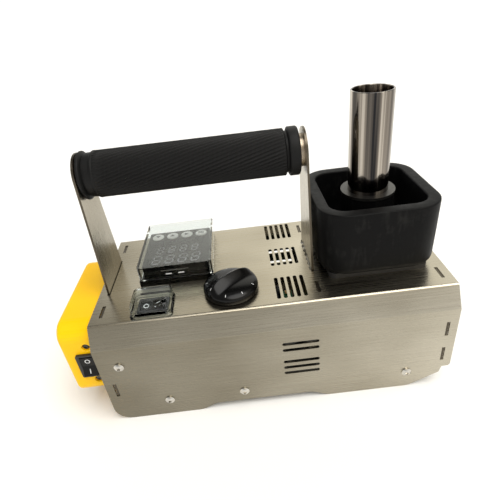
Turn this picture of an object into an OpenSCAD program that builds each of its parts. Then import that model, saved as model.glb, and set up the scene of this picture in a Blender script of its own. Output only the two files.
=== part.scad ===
// Hand-held hot-melt edge banding machine.
// X runs along the body towards the glue pot, Y towards the operator, Z up.
// The origin is on the floor, under the centre of the whole machine's outline.
// All sizes are in millimetres.

/* [Folded cover] */
// Length of the cover
cover_l = 250; // [235:1:320]
// Depth over the front and back plates
cover_d = 129.2; // [122:0.2:170]
// Height from the floor to the top of the cover
cover_h = 85.5; // [82:0.5:110]
// Thickness of the cover sheet
sheet = 1.2; // [1:0.1:1.6]
// How far each sloping band reaches out
band_out = 8.3; // [6:0.1:11]
// How far each sloping band drops
band_down = 15.5; // [12:0.5:20]
// Outer radius of the folds
fold_r = 2.2; // [1.8:0.1:3]
// Height of the arch between the feet
arch_h = 5.5; // [3:0.5:6.5]

/* [Plates] */
// Thickness of the end plates, the partition and the base
plate = 1.5; // [1.2:0.1:2]
// Distance from the cover's end to the middle of an end plate
plate_inset = 7; // [5:0.5:10]
// Height of the base plate's underside
base_z = 7; // [6.6:0.1:9]
// Height of the base plate's upturned flanges
flange_h = 17; // [14:0.5:22]
// Length of each locating tab
tab_l = 12; // [8:0.5:14]

/* [Handle] */
// Height of the grip's axis above the cover
grip_z = 84.5; // [76:0.5:100]
// Outer radius of the rubber grip
grip_r = 15.7; // [13:0.1:18]
// Outer radius of the steel tube in the grip
grip_tube_r = 11; // [8:0.5:12]
// Half width of the arms where they leave the cover
arm_foot_w = 22.5; // [19:0.5:26]
// Half width and top radius of the arms at the grip's axis
arm_top_r = 15.5; // [14:0.5:19]

/* [Glue pot] */
// Outer width of the pot's rim, square
pot_w = 83.5; // [76:0.5:96]
// Height of the rim above the cover
pot_rim = 52; // [44:0.5:64]
// Wall thickness of the pot
pot_wall = 8.5; // [6:0.5:10]
// Outer corner radius of the pot
pot_corner = 20; // [16:0.5:22]
// How much narrower the pot is at the bottom
pot_taper = 2; // [1:0.5:6]
// Height of the insulating frame under the pot
foot_h = 4; // [3:0.5:6]
// Gap between the pot's rim and the partition's arm
pot_gap = 2.5; // [1.5:0.5:5]

/* [Applicator sleeve] */
// Outer radius of the polished sleeve
sleeve_r = 14; // [12:0.25:14.5]
// Wall thickness of the sleeve
sleeve_wall = 1.2; // [1:0.1:1.5]
// Height of the sleeve's top above the cover
sleeve_top = 119; // [100:1:130]

/* [End housing] */
// How far the end housing stands out of the cover
housing_out = 25; // [22:0.5:32]
// Height of the end housing
housing_h = 61.5; // [56:0.5:64]
// Distance from the middle to the housing's front face
housing_front = 55; // [50:0.5:57]
// Distance from the middle to the housing's back face
housing_back = 38; // [34:0.5:45]
// Wall thickness of the housing
housing_wall = 2.5; // [2:0.1:3]

/* [Controls] */
// Width of the controller's bezel
bezel_w = 50; // [48:0.5:54]
// Depth of the controller's bezel
bezel_d = 51; // [48:0.5:54]
// Diameter of the controller's keys
key_d = 9.4; // [7:0.1:10]
// Diameter of the speed knob
knob_d = 39; // [30:0.5:42]
// Height of the speed knob
knob_h = 13; // [10:0.5:16]

/* [Drive] */
// Gear module
gear_m = 1; // [0.8:0.1:1.1]
// Teeth on the spindle gear
gear_teeth = 40; // [36:4:44]
// Teeth on the pinion
pinion_teeth = 20; // [16:4:20]
// Width of the gears
gear_w = 8; // [5:0.5:8]

/* [Fits] */
// Radial clearance of a turning shaft in its bore
run_fit = 0.05; // [0.02:0.01:0.08]
// Clearance between pieces that are assembled and stay still
seat_fit = 0.05; // [0.02:0.01:0.1]
// Clearance between pieces that move past each other
move_gap = 0.3; // [0.25:0.05:0.5]

/* [Hidden] */
$fn = 64;
eps = 0.01;

// Places along X
x_left = (housing_out - cover_l) / 2;
x_right = x_left + cover_l;
left_x = x_left + plate_inset;
right_x = x_right - plate_inset;
pot_x = right_x - pot_w / 2 + 1.75;
part_x = pot_x - pot_w / 2 - pot_gap - plate / 2;

// Places across Y and up Z
half_d = cover_d / 2;
in_y = half_d - sheet;
top_y = half_d - band_out;
top_z = cover_h;
under_z = top_z - sheet;
base_top = base_z + plate;
right_plate_z = base_z + 6.2;
grip_axis_z = top_z + grip_z;
band_angle = atan2(band_out, band_down);

// Corner of the space inside the cover, a sheet's thickness in from each outer face
shoulder_z = top_z - band_down - sheet * tan(band_angle / 2);
shoulder_y = top_y - sheet * tan((90 - band_angle) / 2);

// Slot and tab sizes
slot_w = plate + 0.9;
tab_drop = 0.5;
top_tab_y = 42;
arm_slot = arm_foot_w + 0.6;

// Screw sizes
m4_r = 2;
m4_hole_r = 2.2;
m4_head_r = 3.5;
m4_head_h = 2.3;
m4_len = 9;
side_screw_z = 15.2;
side_screws = [x_left + 42.6, x_left + 98, x_right - 32.2];
end_screw = [x_left + 14.8, top_z - 31.7];

// Vents
vent_w = 2.7;
foot_corner_r = 12;
arch_r = 14;
vent_pitch = 4.6;
vent_x = part_x - 28;
vent_rows = [[-37.9, 24.6], [2, 24], [41.5, 24]];
side_vent_l = 25.6;
side_vent_x = part_x - 16.8;
side_vent_z = [28.7, 34.4, 45.7, 51.3, 56.8];
fan_z = top_z - 42.8;

// Controller
ctrl_x = x_left + 57.5;
ctrl_y = top_y - 41.8;
frame_h = 4.7;
bezel_h = 7.3;
bezel_z = top_z + frame_h;
bezel_top = bezel_z + bezel_h;
case_w = 44.8;
case_deep = 58;
window_w = 42;
window_d = 30;
window_y = ctrl_y - 8.3;
window_h = 1.2;
key_pitch = 11.9;
key_y = ctrl_y + 18;
key_h = 3;
key_proud = 0.7;
key_travel = 0.4;
cover_w = 55;
cover_front = ctrl_y - 31.8;
cover_back = ctrl_y + 36;
cover_top = top_z + 16;
cover_wall = 1.5;
hinge_z = top_z + 2.6;
hinge_r = 1.6;
hinge_y = cover_back - hinge_r;
latch_w = 20;
latch_t = 0.8;
pin_r = 0.8;
knuckle = 12;

// Rocker switches
sw_l = 21;
sw_w = 15;
sw_lip = 2;
sw_body_l = 19;
sw_body_w = 13;
sw_deep = 17;
rocker_l = 15.8;
rocker_w = 10;
rocker_tilt = 8;
rocker_pin_r = 1.2;
rocker_pivot = -1.2;
work_x = x_left + 43;
work_y = -top_y + 13.3;
main_x = x_left - 8.7;
main_z = top_z - 35;
boot = [29, 25, 11];
boot_wall = 1;

// Speed knob and potentiometer
knob_x = x_left + 97.5;
knob_y = -top_y + 23.8;
knob_lift = 0.4;
knob_turn = 38;
pot_can_r = 12;
pot_can_h = 9;
bush_r = 3.5;
bush_h = 8;
spin_r = 3;

// End housing
housing_x = x_left - housing_out;
housing_z1 = under_z - move_gap;
housing_z0 = housing_z1 - housing_h;
housing_r = 8;
housing_top_r = 12;
housing_edge_r = 3;
housing_screw_x = x_left - 7;
housing_screw_z = [top_z - 18.8, top_z - 50.6];
gland_x = x_left - 6.5;
gland_z = top_z - 36;
gland_r = 3.5;

// Glue pot
pot_z0 = top_z + foot_h;
pot_z1 = top_z + pot_rim;
pot_floor = 12;
bore_r = sleeve_r + 1;
column_r = bore_r + 3.5;
block_w = 2 * (bore_r + 12);
block_z0 = top_z - 15.5;
ring_r = column_r + 0.5;
ring_t = 2;
ring_z = pot_z1 - 1;
ring_spigot_r = sleeve_r + 2.5;
ring_spigot_h = 10;
insulator_w = pot_w - 13.5;
pot_screw_at = insulator_w / 2 - 4;
heater_r = 4;
heater_x = block_w / 2 - 6;
heater_l = block_w - 4;
heater_z = block_z0 + 7;

// Spindle and drive
drive_z = top_z - 33.5;
drive_t = 2;
gear_z = drive_z + drive_t + 3;
spindle_r = 4;
spindle_z0 = drive_z - 26;
sleeve_z0 = block_z0 - 2;
hub_h = 20;
housing_barrel_r = 14;
housing_flange_r = 21;
bush_out_r = 8;
gear_gap = 0.12;
motor_y = -(gear_m * (gear_teeth + pinion_teeth) / 2 + gear_gap);
gearbox_r = 18.5;
gearbox_h = 19;
motor_r = 16.5;
shaft_offset = 7;
motor_shaft_r = 3;

// Fan
fan_w = 30;
fan_t = 10;
fan_x = side_vent_x;
fan_y = -in_y;
fan_blades = 7;
fan_bracket_t = 1.2;
fan_bracket_y = fan_y + fan_t + 2 * seat_fit;

// ---------- shared shapes ----------

// A corner of a polygon turned into an arc of n + 1 points
function corner_arc(p, q, s, r, n = 4) =
    let(u = (p - q) / norm(p - q), v = (s - q) / norm(s - q),
        half = acos(u * v) / 2, c = q + (u + v) / norm(u + v) * r / sin(half),
        a0 = q + u * r / tan(half) - c, a1 = q + v * r / tan(half) - c,
        t0 = atan2(a0[1], a0[0]), d = atan2(a1[1], a1[0]) - t0,
        turn = d > 180 ? d - 360 : d < -180 ? d + 360 : d)
    [for (i = [0 : n]) c + r * [cos(t0 + turn * i / n), sin(t0 + turn * i / n)]];

// The cover's section, folds rounded, drawn a distance in from the outer face
function section(inset, r, foot) =
    let(y = half_d - inset, s = top_z - band_down - inset * tan(band_angle / 2),
        t = top_y - inset * tan((90 - band_angle) / 2), z = top_z - inset)
    [[-y, foot], each corner_arc([-y, foot], [-y, s], [-t, z], r),
     each corner_arc([-y, s], [-t, z], [t, z], r), each corner_arc([-t, z], [t, z], [y, s], r),
     each corner_arc([t, z], [y, s], [y, foot], r), [y, foot]];

module along_x(x0, length) {
    translate([x0, 0, 0]) rotate([90, 0, 90]) linear_extrude(length) children();
}

module along_y(y0, length) {
    translate([0, y0 + length, 0]) rotate([90, 0, 0]) linear_extrude(length) children();
}

module rod_x(x0, length, r) {
    translate([x0, 0, 0]) rotate([0, 90, 0]) cylinder(h = length, r = r);
}

module rod_y(y0, length, r) {
    translate([0, y0, 0]) rotate([-90, 0, 0]) cylinder(h = length, r = r);
}

module slot(length, width) {
    square([length - width, width], center = true);
    for (s = [-1, 1]) translate([s * (length - width) / 2, 0]) circle(d = width, $fn = 24);
}

module round_square(w, d, r) {
    square([w - 2 * r, d], center = true);
    square([w, d - 2 * r], center = true);
    for (x = [-1, 1], y = [-1, 1]) translate([x * (w / 2 - r), y * (d / 2 - r)]) circle(r = r);
}

// A button-head screw: the head's seat is at z = 0 and the shank points down
module button_screw(head_r, head_h, r, length) {
    difference() {
        union() {
            rotate_extrude() intersection() {
                translate([0, head_h - head_r * 1.35]) circle(r = head_r * 1.35, $fn = 96);
                square([head_r, head_h]);
            }
            translate([0, 0, -length]) cylinder(h = length + eps, r = r);
        }
        translate([0, 0, head_h * 0.45]) cylinder(h = head_h, r = head_r * 0.36, $fn = 6);
    }
}

// ---------- sheet metal ----------

// What the feet, the arch and the cut ends leave away from the front and back plates
module foot_cuts() {
    l = x_left;
    r = x_right;
    foot_z = 16.5;
    arch = [[l + 65, 0], [l + 76, arch_h], [r - 102, arch_h], [r - 90, 0]];
    lift = [r - 30, 0];
    heel = [r - 7.6, 10.8];
    polygon([[l - 1, -2], [l - 1, foot_z], [l, foot_z],
        each corner_arc([l, foot_z], [l, 0], arch[0], foot_corner_r, 6),
        each corner_arc([l, 0], arch[0], arch[1], arch_r),
        each corner_arc(arch[0], arch[1], arch[2], arch_r),
        each corner_arc(arch[1], arch[2], arch[3], arch_r),
        each corner_arc(arch[2], arch[3], lift, arch_r),
        each corner_arc(arch[3], lift, heel, arch_r), heel,
        [r - 6, foot_z], [r - 1.2, foot_z + 0.2], [r, foot_z + 2], [r + 1, foot_z + 2], [r + 1, -2]]);
}

module top_cover() {
    color([0.72, 0.69, 0.64]) difference() {
        along_x(x_left, cover_l) difference() {
            polygon(section(0, fold_r, -1));
            polygon(section(sheet, fold_r - sheet, -2));
        }
        along_y(-half_d - 1, cover_d + 2) foot_cuts();
        translate([0, 0, top_z - sheet - 1]) linear_extrude(sheet + 2) top_openings();
        for (side = [-1, 1]) translate([0, side * half_d, 0]) side_openings();
    }
}

module top_openings() {
    for (row = vent_rows, i = [0 : 4])
        translate([vent_x + i * vent_pitch, row[0]]) rotate(90) slot(row[1], vent_w);
    for (x = [left_x, part_x, right_x], s = [-1, 1])
        translate([x, s * top_tab_y]) square([slot_w, tab_l + 0.5], center = true);
    for (x = [left_x, part_x]) translate([x, 0]) square([slot_w, 2 * arm_slot], center = true);
    for (i = [-3 : 3]) translate([part_x - slot_w / 2, i * 6.2]) square([1.6, 3.4], center = true);
    translate([pot_x, 0]) square(block_w + 2, center = true);
    for (x = [-1, 1], y = [-1, 1])
        translate([pot_x + x * pot_screw_at, y * pot_screw_at]) circle(r = m4_hole_r);
    translate([ctrl_x, ctrl_y]) square(case_w + 0.6, center = true);
    translate([work_x, work_y]) square([sw_body_l + 0.3, sw_body_w + 0.3], center = true);
    translate([knob_x, knob_y]) circle(r = bush_r + 0.1);
}

module side_openings() {
    for (z = side_vent_z) translate([side_vent_x, 0, top_z - z]) rotate([90, 0, 0])
        linear_extrude(4 * sheet, center = true) slot(side_vent_l, vent_w - 0.1);
    for (x = side_screws) translate([x, 0, side_screw_z]) rod_y(-5, 10, m4_hole_r);
    translate([end_screw[0], 0, end_screw[1]]) rod_y(-5, 10, m4_hole_r);
    for (p = [[left_x, 31.3], [right_x, 29.5], [right_x, 53.4]])
        translate([p[0], 0, p[1]]) cube([slot_w, 6 * sheet, tab_l + 0.5], center = true);
}

// The base folds up along the cut of the feet at the pot end and has an upturned flange each side
module base_plate() {
    x0 = left_x + plate / 2 + seat_fit;
    x1 = right_x - plate / 2 - seat_fit;
    fold = x_right - 17.5;
    y0 = in_y - seat_fit;
    color([0.7, 0.69, 0.67]) difference() {
        union() {
            along_y(-y0, 2 * y0) polygon([[x0, base_z], [fold, base_z], [x1, right_plate_z - plate],
                [x1, right_plate_z], [fold - plate / 4, base_top], [x0, base_top]]);
            for (s = [-1, 1]) translate([x0, s > 0 ? y0 - plate : -y0, base_z])
                cube([x1 - x0, plate, flange_h]);
        }
        translate([0, 0, base_z - arch_h]) along_y(-half_d, cover_d) foot_cuts();
        for (x = side_screws) translate([x, 0, side_screw_z]) rod_y(-half_d, cover_d, m4_r + seat_fit);
        for (i = [0 : 6], s = [-1, 1]) translate([part_x - 60 + i * 7, s * 38, base_z - 1])
            linear_extrude(plate + 2) rotate(90) slot(24, 3);
        for (p = board_posts()) translate([p[0], p[1], base_z - 1]) cylinder(h = plate + 2, r = 1.6);
    }
}

// An upright plate that fills the cover's section, with tabs in the cover's slots
module plate_shape(bottom, side_tabs, arm) {
    g = 0.2;
    y = in_y - g;
    polygon([[-y, bottom], [-y, shoulder_z - g], [-shoulder_y + g, under_z - g],
        [shoulder_y - g, under_z - g], [y, shoulder_z - g], [y, bottom]]);
    for (s = [-1, 1]) translate([s * top_tab_y - tab_l / 2, under_z - 1])
        square([tab_l, 1 + sheet - tab_drop]);
    for (z = side_tabs, s = [-1, 1]) translate([s > 0 ? y - 1 : -y - g - sheet + tab_drop, z - tab_l / 2])
        square([1 + g + sheet - tab_drop, tab_l]);
    if (arm) arm_shape();
}

module arm_shape() {
    difference() {
        union() {
            polygon([[-arm_foot_w, under_z - 2], [-arm_top_r, grip_axis_z],
                [arm_top_r, grip_axis_z], [arm_foot_w, under_z - 2]]);
            translate([0, grip_axis_z]) circle(r = arm_top_r);
        }
        translate([0, grip_axis_z]) circle(r = 2.6);
    }
}

module left_end_plate() {
    ear_y = housing_front - housing_wall - seat_fit;
    back_ear_y = housing_back - housing_wall - seat_fit;
    ear_l = left_x - plate / 2 - housing_screw_x + 5;
    color([0.66, 0.63, 0.58]) difference() {
        union() {
            along_x(left_x - plate / 2, plate) difference() {
                plate_shape(base_z, [31.3], true);
                translate([-10, 48]) round_square(50, 30, 4);
            }
            for (z = housing_screw_z) {
                translate([left_x - plate / 2 - ear_l, -ear_y, z - 5]) cube([ear_l + eps, plate, 10]);
                translate([left_x - plate / 2 - ear_l, back_ear_y - plate, z - 5])
                    cube([ear_l + eps, plate, 10]);
            }
            for (s = [-1, 1]) translate([left_x + plate / 2 - eps,
                s > 0 ? in_y - seat_fit - plate : -in_y + seat_fit, end_screw[1] - 8])
                cube([14, plate, 16]);
        }
        for (z = housing_screw_z) translate([housing_screw_x, 0, z])
            rod_y(-half_d, cover_d, 1.5 + seat_fit);
        translate([end_screw[0], 0, end_screw[1]]) rod_y(-half_d, cover_d, m4_r + seat_fit);
    }
}

module partition_plate() {
    color([0.68, 0.65, 0.6]) difference() {
        along_x(part_x - plate / 2, plate) plate_shape(base_top + seat_fit, [], true);
        for (s = [-1, 1]) translate([part_x - plate, s * in_y - plate - 1, base_z])
            cube([2 * plate, 2 * plate + 2, flange_h + 1]);
        translate([0, -34, drive_z - 14]) rod_x(part_x - plate, 2 * plate, 6);
        for (y = [-46, 24]) translate([0, y, drive_z + drive_t + 6])
            rod_x(part_x - plate, 2 * plate, 1.5 + seat_fit);
    }
}

module right_end_plate() {
    color([0.68, 0.65, 0.6]) difference() {
        along_x(right_x - plate / 2, plate) plate_shape(right_plate_z - plate, [29.5, 53.4], false);
        for (y = [-46, 24]) translate([0, y, drive_z + drive_t + 6])
            rod_x(right_x - plate, 2 * plate, 1.5 + seat_fit);
    }
}

module cover_screws() {
    color([0.78, 0.77, 0.75]) for (side = [0, 1]) mirror([0, side, 0]) {
        for (x = side_screws) translate([x, -half_d, side_screw_z]) rotate([90, 0, 0])
            button_screw(m4_head_r, m4_head_h, m4_r, m4_len);
        translate([end_screw[0], -half_d, end_screw[1]]) rotate([90, 0, 0])
            button_screw(m4_head_r, m4_head_h, m4_r, m4_len);
    }
}

// ---------- handle ----------

grip_x0 = left_x + plate / 2 + seat_fit;
grip_x1 = part_x - plate / 2 - seat_fit;
grip_end = grip_x1 - 3;

module handle_tube() {
    color([0.6, 0.6, 0.6]) translate([0, 0, grip_axis_z]) difference() {
        rod_x(grip_x0, grip_x1 - grip_x0, grip_tube_r);
        rod_x(grip_x0 + 12, grip_x1 - grip_x0 - 24, grip_tube_r - 1.5);
        rod_x(grip_x0 - 1, grip_x1 - grip_x0 + 2, 2.5 + seat_fit);
    }
}

// Radius steps along the grip: flange, groove, collar, ribbed body, groove, end collar
module rubber_grip() {
    g = grip_r;
    b = grip_tube_r + seat_fit;
    length = grip_end - grip_x0;
    color([0.09, 0.09, 0.09]) translate([grip_x0, 0, grip_axis_z]) rotate([0, 90, 0])
        rotate_extrude() polygon([[b, 0.3], [g - 1.6, 0.3], [g, 1.6], [g + 0.2, 2.6], [g - 0.4, 3.6],
            [g - 2, 4], [g - 2, 4.6], [g - 1, 5], [g - 0.8, 9.5], [g + 0.1, 10.4], [g + 0.1, 11.4],
            [g, 12], [g, length - 9.6], [g - 1.9, length - 8.9], [g - 1.9, length - 7.6],
            [g + 0.6, length - 7], [g + 0.6, length - 1], [g - 0.2, length], [b, length]]);
}

module handle_bolts() {
    color([0.75, 0.75, 0.74]) translate([0, 0, grip_axis_z]) {
        translate([left_x - plate / 2, 0, 0]) rotate([0, -90, 0]) button_screw(4.75, 2.8, 2.5, 14);
        translate([part_x + plate / 2, 0, 0]) rotate([0, 90, 0]) button_screw(4.75, 2.1, 2.5, 14);
    }
}

// ---------- end housing ----------

// A soft-cornered block, open-ended at the body side, drawn a distance in from the outer face
module housing_block(inset, x1) {
    r = housing_r - inset;
    rt = housing_top_r - inset;
    edge = max(0.5, housing_edge_r - inset);
    x0 = housing_x + inset;
    hull() for (c = [[-housing_front, housing_z1, rt, 1, -1], [housing_back, housing_z1, rt, -1, -1],
            [-housing_front, housing_z0, r, 1, 1], [housing_back, housing_z0, r, -1, 1]]) {
        y = c[0] + c[3] * (inset + c[2]);
        z = c[1] + c[4] * (inset + c[2]);
        for (a = [0 : 22.5 : 90]) translate([x0 + edge * (1 - sin(a)), y, z]) rotate([0, 90, 0])
            cylinder(h = 0.02, r = c[2] - edge * (1 - cos(a)), $fn = 32);
        translate([x1 - 1, y, z]) rotate([0, 90, 0]) cylinder(h = 1, r = c[2], $fn = 32);
    }
}

module end_housing() {
    x1 = left_x - plate / 2 - seat_fit;
    color([1, 0.76, 0.08]) difference() {
        housing_block(0, x1);
        housing_block(housing_wall, x1 + 3);
        translate([main_x - sw_body_w / 2 - 0.15, -housing_front - 2, main_z - sw_body_l / 2 - 0.15])
            cube([sw_body_w + 0.3, 8, sw_body_l + 0.3]);
        for (z = housing_screw_z) translate([housing_screw_x, 0, z]) {
            rod_y(-half_d, cover_d, 1.7);
            rod_y(-housing_front - 2, 3.2, 2.9);
            rod_y(housing_back - 1.2, 3.2, 2.9);
        }
        translate([gland_x, 0, gland_z]) rod_y(housing_back - 8, 10, 6.1);
    }
}

module housing_screws() {
    color([0.3, 0.3, 0.3]) for (z = housing_screw_z) {
        translate([housing_screw_x, -housing_front + 1.2, z]) rotate([90, 0, 0])
            button_screw(2.6, 1.1, 1.5, 7);
        translate([housing_screw_x, housing_back - 1.2, z]) rotate([-90, 0, 0])
            button_screw(2.6, 1.1, 1.5, 7);
    }
}

module cable_gland() {
    color([0.1, 0.1, 0.1]) translate([gland_x, housing_back, gland_z]) difference() {
        union() {
            rod_y(-9, 9 + eps, 6);
            rotate([-90, 30, 0]) cylinder(h = 5, r = 9, $fn = 6);
            rod_y(5 - eps, 3.5, 6.5);
            intersection() {
                rod_y(8, 11, 7.4);
                translate([0, 8, 0]) rotate([-90, 0, 0]) cylinder(h = 11, r1 = 9.5, r2 = 5.6);
            }
        }
        rod_y(-10, 31, gland_r);
    }
}

module gland_nut() {
    color([0.12, 0.12, 0.12]) translate([gland_x, housing_back - housing_wall - move_gap, gland_z])
        difference() {
            rotate([90, 0, 0]) cylinder(h = 4.5, r = 9.2, $fn = 6);
            rod_y(-6, 8, 6 + seat_fit);
        }
}

// ---------- rocker switches ----------
// Drawn with the lip's seat at z = 0, the long side along X and the terminals below

module switch_body() {
    difference() {
        union() {
            linear_extrude(sw_lip) round_square(sw_l, sw_w, 1.2);
            translate([-sw_body_l / 2, -sw_body_w / 2, -sw_deep])
                cube([sw_body_l, sw_body_w, sw_deep + eps]);
            for (x = [-6, 0, 6]) translate([x - 2.4, -0.4, -sw_deep - 7]) cube([4.8, 0.8, 7 + eps]);
        }
        translate([-9, -rocker_w / 2 - move_gap, -9]) cube([18, rocker_w + 2 * move_gap, 20]);
        translate([0, 0, rocker_pivot]) rod_y(-sw_w / 2, sw_w, rocker_pin_r + run_fit);
    }
}

module switch_rocker() {
    h = rocker_l / 2;
    translate([0, 0, rocker_pivot]) rotate([0, -rocker_tilt, 0]) {
        along_y(-rocker_w / 2, rocker_w)
            polygon([[-h, 4.6], [0, 3], [h, 4.6], [h, 1], [3, -5], [-3, -5], [-h, 1]]);
        rod_y(-sw_body_w / 2 + 0.2, sw_body_w - 0.4, rocker_pin_r);
    }
}

module at_work_switch() {
    translate([work_x, work_y, top_z]) children();
}

module at_main_switch() {
    translate([main_x, -housing_front, main_z]) rotate([90, 0, 0]) rotate([0, 0, -90]) children();
}

module work_switch_body() { color([0.12, 0.12, 0.12]) at_work_switch() switch_body(); }
module work_switch_rocker() { color([0.2, 0.2, 0.22]) at_work_switch() switch_rocker(); }
module main_switch_body() { color([0.08, 0.08, 0.08]) at_main_switch() switch_body(); }
module main_switch_rocker() { color([0.12, 0.14, 0.16]) at_main_switch() switch_rocker(); }

module boot_block(w, d, h, r) {
    hull() for (x = [-1, 1], y = [-1, 1]) {
        translate([x * (w / 2 - r), y * (d / 2 - r), 0]) cylinder(h = 1, r = r, $fn = 32);
        translate([x * (w / 2 - r - 1), y * (d / 2 - r - 1), h - r]) sphere(r = r, $fn = 32);
    }
}

module switch_boot() {
    color([0.85, 0.9, 0.9, 0.4]) at_work_switch() difference() {
        boot_block(boot[0], boot[1], boot[2], 3);
        translate([0, 0, -eps]) boot_block(boot[0] - 2 * boot_wall, boot[1] - 2 * boot_wall,
            boot[2] - boot_wall, 2);
    }
}

// ---------- temperature controller ----------

module controller_case() {
    color([0.1, 0.1, 0.1]) translate([ctrl_x, ctrl_y, bezel_z - seat_fit]) {
        translate([-case_w / 2, -case_w / 2, -case_deep]) cube([case_w, case_w, case_deep]);
        for (i = [0 : 5], s = [-1, 1]) translate([-17.5 + 7 * i, s * 17, -case_deep - 3])
            cylinder(h = 3 + eps, r = 2.4, $fn = 24);
    }
}

function key_at(i) = ctrl_x + (i - 1.5) * key_pitch;

module controller_bezel() {
    color([0.07, 0.07, 0.07]) difference() {
        translate([ctrl_x, ctrl_y, bezel_z]) linear_extrude(bezel_h) round_square(bezel_w, bezel_d, 1.5);
        translate([ctrl_x - window_w / 2, window_y - window_d / 2, bezel_top - window_h - 0.3])
            cube([window_w, window_d, window_h + 1]);
        for (i = [0 : 3]) translate([key_at(i), key_y, bezel_z + 2])
            cylinder(h = bezel_h, d = key_d + 0.4);
    }
}

module display_window() {
    color([0.16, 0.16, 0.17]) translate([ctrl_x - window_w / 2 + seat_fit,
        window_y - window_d / 2 + seat_fit, bezel_top - window_h - 0.3])
        cube([window_w - 2 * seat_fit, window_d - 2 * seat_fit, window_h]);
}

module controller_key(i) {
    color([0.92, 0.92, 0.9]) translate([key_at(i), key_y, bezel_top - key_h]) {
        cylinder(h = key_h + key_proud - 0.4, d = key_d);
        cylinder(h = key_h + key_proud, d = key_d - 1);
    }
}

module key_up() { controller_key(0); }
module key_down() { controller_key(1); }
module key_shift() { controller_key(2); }
module key_set() { controller_key(3); }

module controller_clamp() {
    w = case_w + 2 * seat_fit;
    color([0.13, 0.13, 0.13]) translate([ctrl_x, ctrl_y, under_z - seat_fit - 6]) difference() {
        linear_extrude(6) round_square(w + 7, w + 7, 2);
        translate([0, 0, -1]) linear_extrude(8) square(w, center = true);
    }
}

// The clear frame under the bezel, with the middle knuckle of the cover's hinge
module cover_frame() {
    depth = hinge_y - hinge_r - cover_front;
    color([0.85, 0.9, 0.9, 0.4]) difference() {
        union() {
            translate([ctrl_x - cover_w / 2, cover_front, top_z]) cube([cover_w, depth, frame_h]);
            translate([ctrl_x, hinge_y, hinge_z]) rod_x(-knuckle / 2, knuckle, hinge_r);
            translate([ctrl_x - knuckle / 2, hinge_y - hinge_r - eps, hinge_z - hinge_r])
                cube([knuckle, hinge_r, 2 * hinge_r]);
        }
        translate([ctrl_x - case_w / 2 - 0.3, ctrl_y - case_w / 2 - 0.3, top_z - 1])
            cube([case_w + 0.6, case_w + 0.6, frame_h + 2]);
        translate([ctrl_x, hinge_y, hinge_z]) rod_x(-knuckle, 2 * knuckle, pin_r + run_fit);
    }
}

module cover_hinge_pin() {
    color([0.75, 0.75, 0.75]) translate([ctrl_x, hinge_y, hinge_z]) rod_x(-19, 38, pin_r);
}

// The clear lid over the controller, with a knuckle each side of the frame's and a finger tab in front
module controller_cover() {
    z0 = bezel_z + move_gap;
    depth = cover_back - cover_front;
    gap = 0.35;
    color([0.85, 0.9, 0.9, 0.35]) difference() {
        union() {
            translate([ctrl_x, cover_front + depth / 2, z0]) linear_extrude(cover_top - z0)
                round_square(cover_w, depth, 2.5);
            for (s = [-1, 1]) translate([ctrl_x + s * (knuckle + gap), hinge_y, hinge_z]) {
                rod_x(-knuckle / 2, knuckle, hinge_r);
                translate([-knuckle / 2, 0, 0]) cube([knuckle, hinge_r, z0 - hinge_z + eps]);
            }
            translate([ctrl_x - latch_w / 2, cover_front - latch_t, z0])
                cube([latch_w, latch_t + eps, bezel_h]);
        }
        translate([ctrl_x, cover_front + depth / 2, z0 - 1]) linear_extrude(cover_top - cover_wall - z0 + 1)
            round_square(cover_w - 2 * cover_wall, depth - 2 * cover_wall, 1.5);
        translate([ctrl_x, hinge_y, hinge_z]) rod_x(-20, 40, pin_r + run_fit);
    }
}

// ---------- speed control ----------

module speed_potentiometer() {
    color([0.35, 0.4, 0.35]) translate([knob_x, knob_y, under_z - seat_fit]) difference() {
        union() {
            translate([0, 0, -pot_can_h]) cylinder(h = pot_can_h, r = pot_can_r);
            translate([0, 0, -eps]) cylinder(h = bush_h, r = bush_r);
            for (x = [-5, 0, 5]) translate([x - 1, -pot_can_r - 5, -pot_can_h + 2]) cube([2, 8, 0.8]);
        }
        translate([0, 0, -pot_can_h + 1]) cylinder(h = pot_can_h + bush_h, r = spin_r + run_fit);
    }
}

module potentiometer_nut() {
    color([0.8, 0.8, 0.78]) translate([knob_x, knob_y, top_z + seat_fit]) difference() {
        cylinder(h = 2.4, r = 5.8, $fn = 6);
        translate([0, 0, -1]) cylinder(h = 5, r = bush_r + seat_fit);
    }
}

module potentiometer_shaft() {
    color([0.7, 0.7, 0.7]) translate([knob_x, knob_y, under_z - pot_can_h + 1.2])
        cylinder(h = top_z + knob_h - 3 - (under_z - pot_can_h + 1.2), r = spin_r);
}

module speed_knob() {
    r = knob_d / 2;
    bar = 5;
    color([0.05, 0.05, 0.05]) translate([knob_x, knob_y, top_z + knob_lift]) difference() {
        union() {
            rotate_extrude() polygon([[0, 0], [r, 0], [r, 3], [r - 0.8, 4.4], [r - 3, 6], [r - 7, 7.2],
                [r - 12, 7.8], [0, 8]]);
            intersection() {
                rotate_extrude() polygon([[0, 0], [r - 0.6, 0], [r - 0.6, 4.6], [r - 3, 8],
                    [r - 8, knob_h - 1], [r - 13, knob_h], [0, knob_h]]);
                rotate(knob_turn) translate([-r, -bar / 2, 0]) cube([2 * r, bar, knob_h]);
            }
        }
        translate([0, 0, -1]) cylinder(h = 4.6, r = 7);
        translate([0, 0, -1]) cylinder(h = bush_h - sheet + 0.8, r = bush_r + 0.5);
        translate([0, 0, -1]) cylinder(h = knob_h - 2, r = spin_r + seat_fit);
    }
}

// ---------- glue pot ----------

// The pot's outer form: a tapered square with round corners and a rounded lower edge
module pot_form() {
    edge = 6;
    hull() {
        translate([0, 0, pot_z1 - 1]) pot_slab(0, 1);
        for (a = [0 : 15 : 90]) translate([0, 0, pot_z0 + edge * (1 - cos(a))])
            pot_slab(pot_taper / 2 + edge * (1 - sin(a)), 0.02);
    }
}

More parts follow.
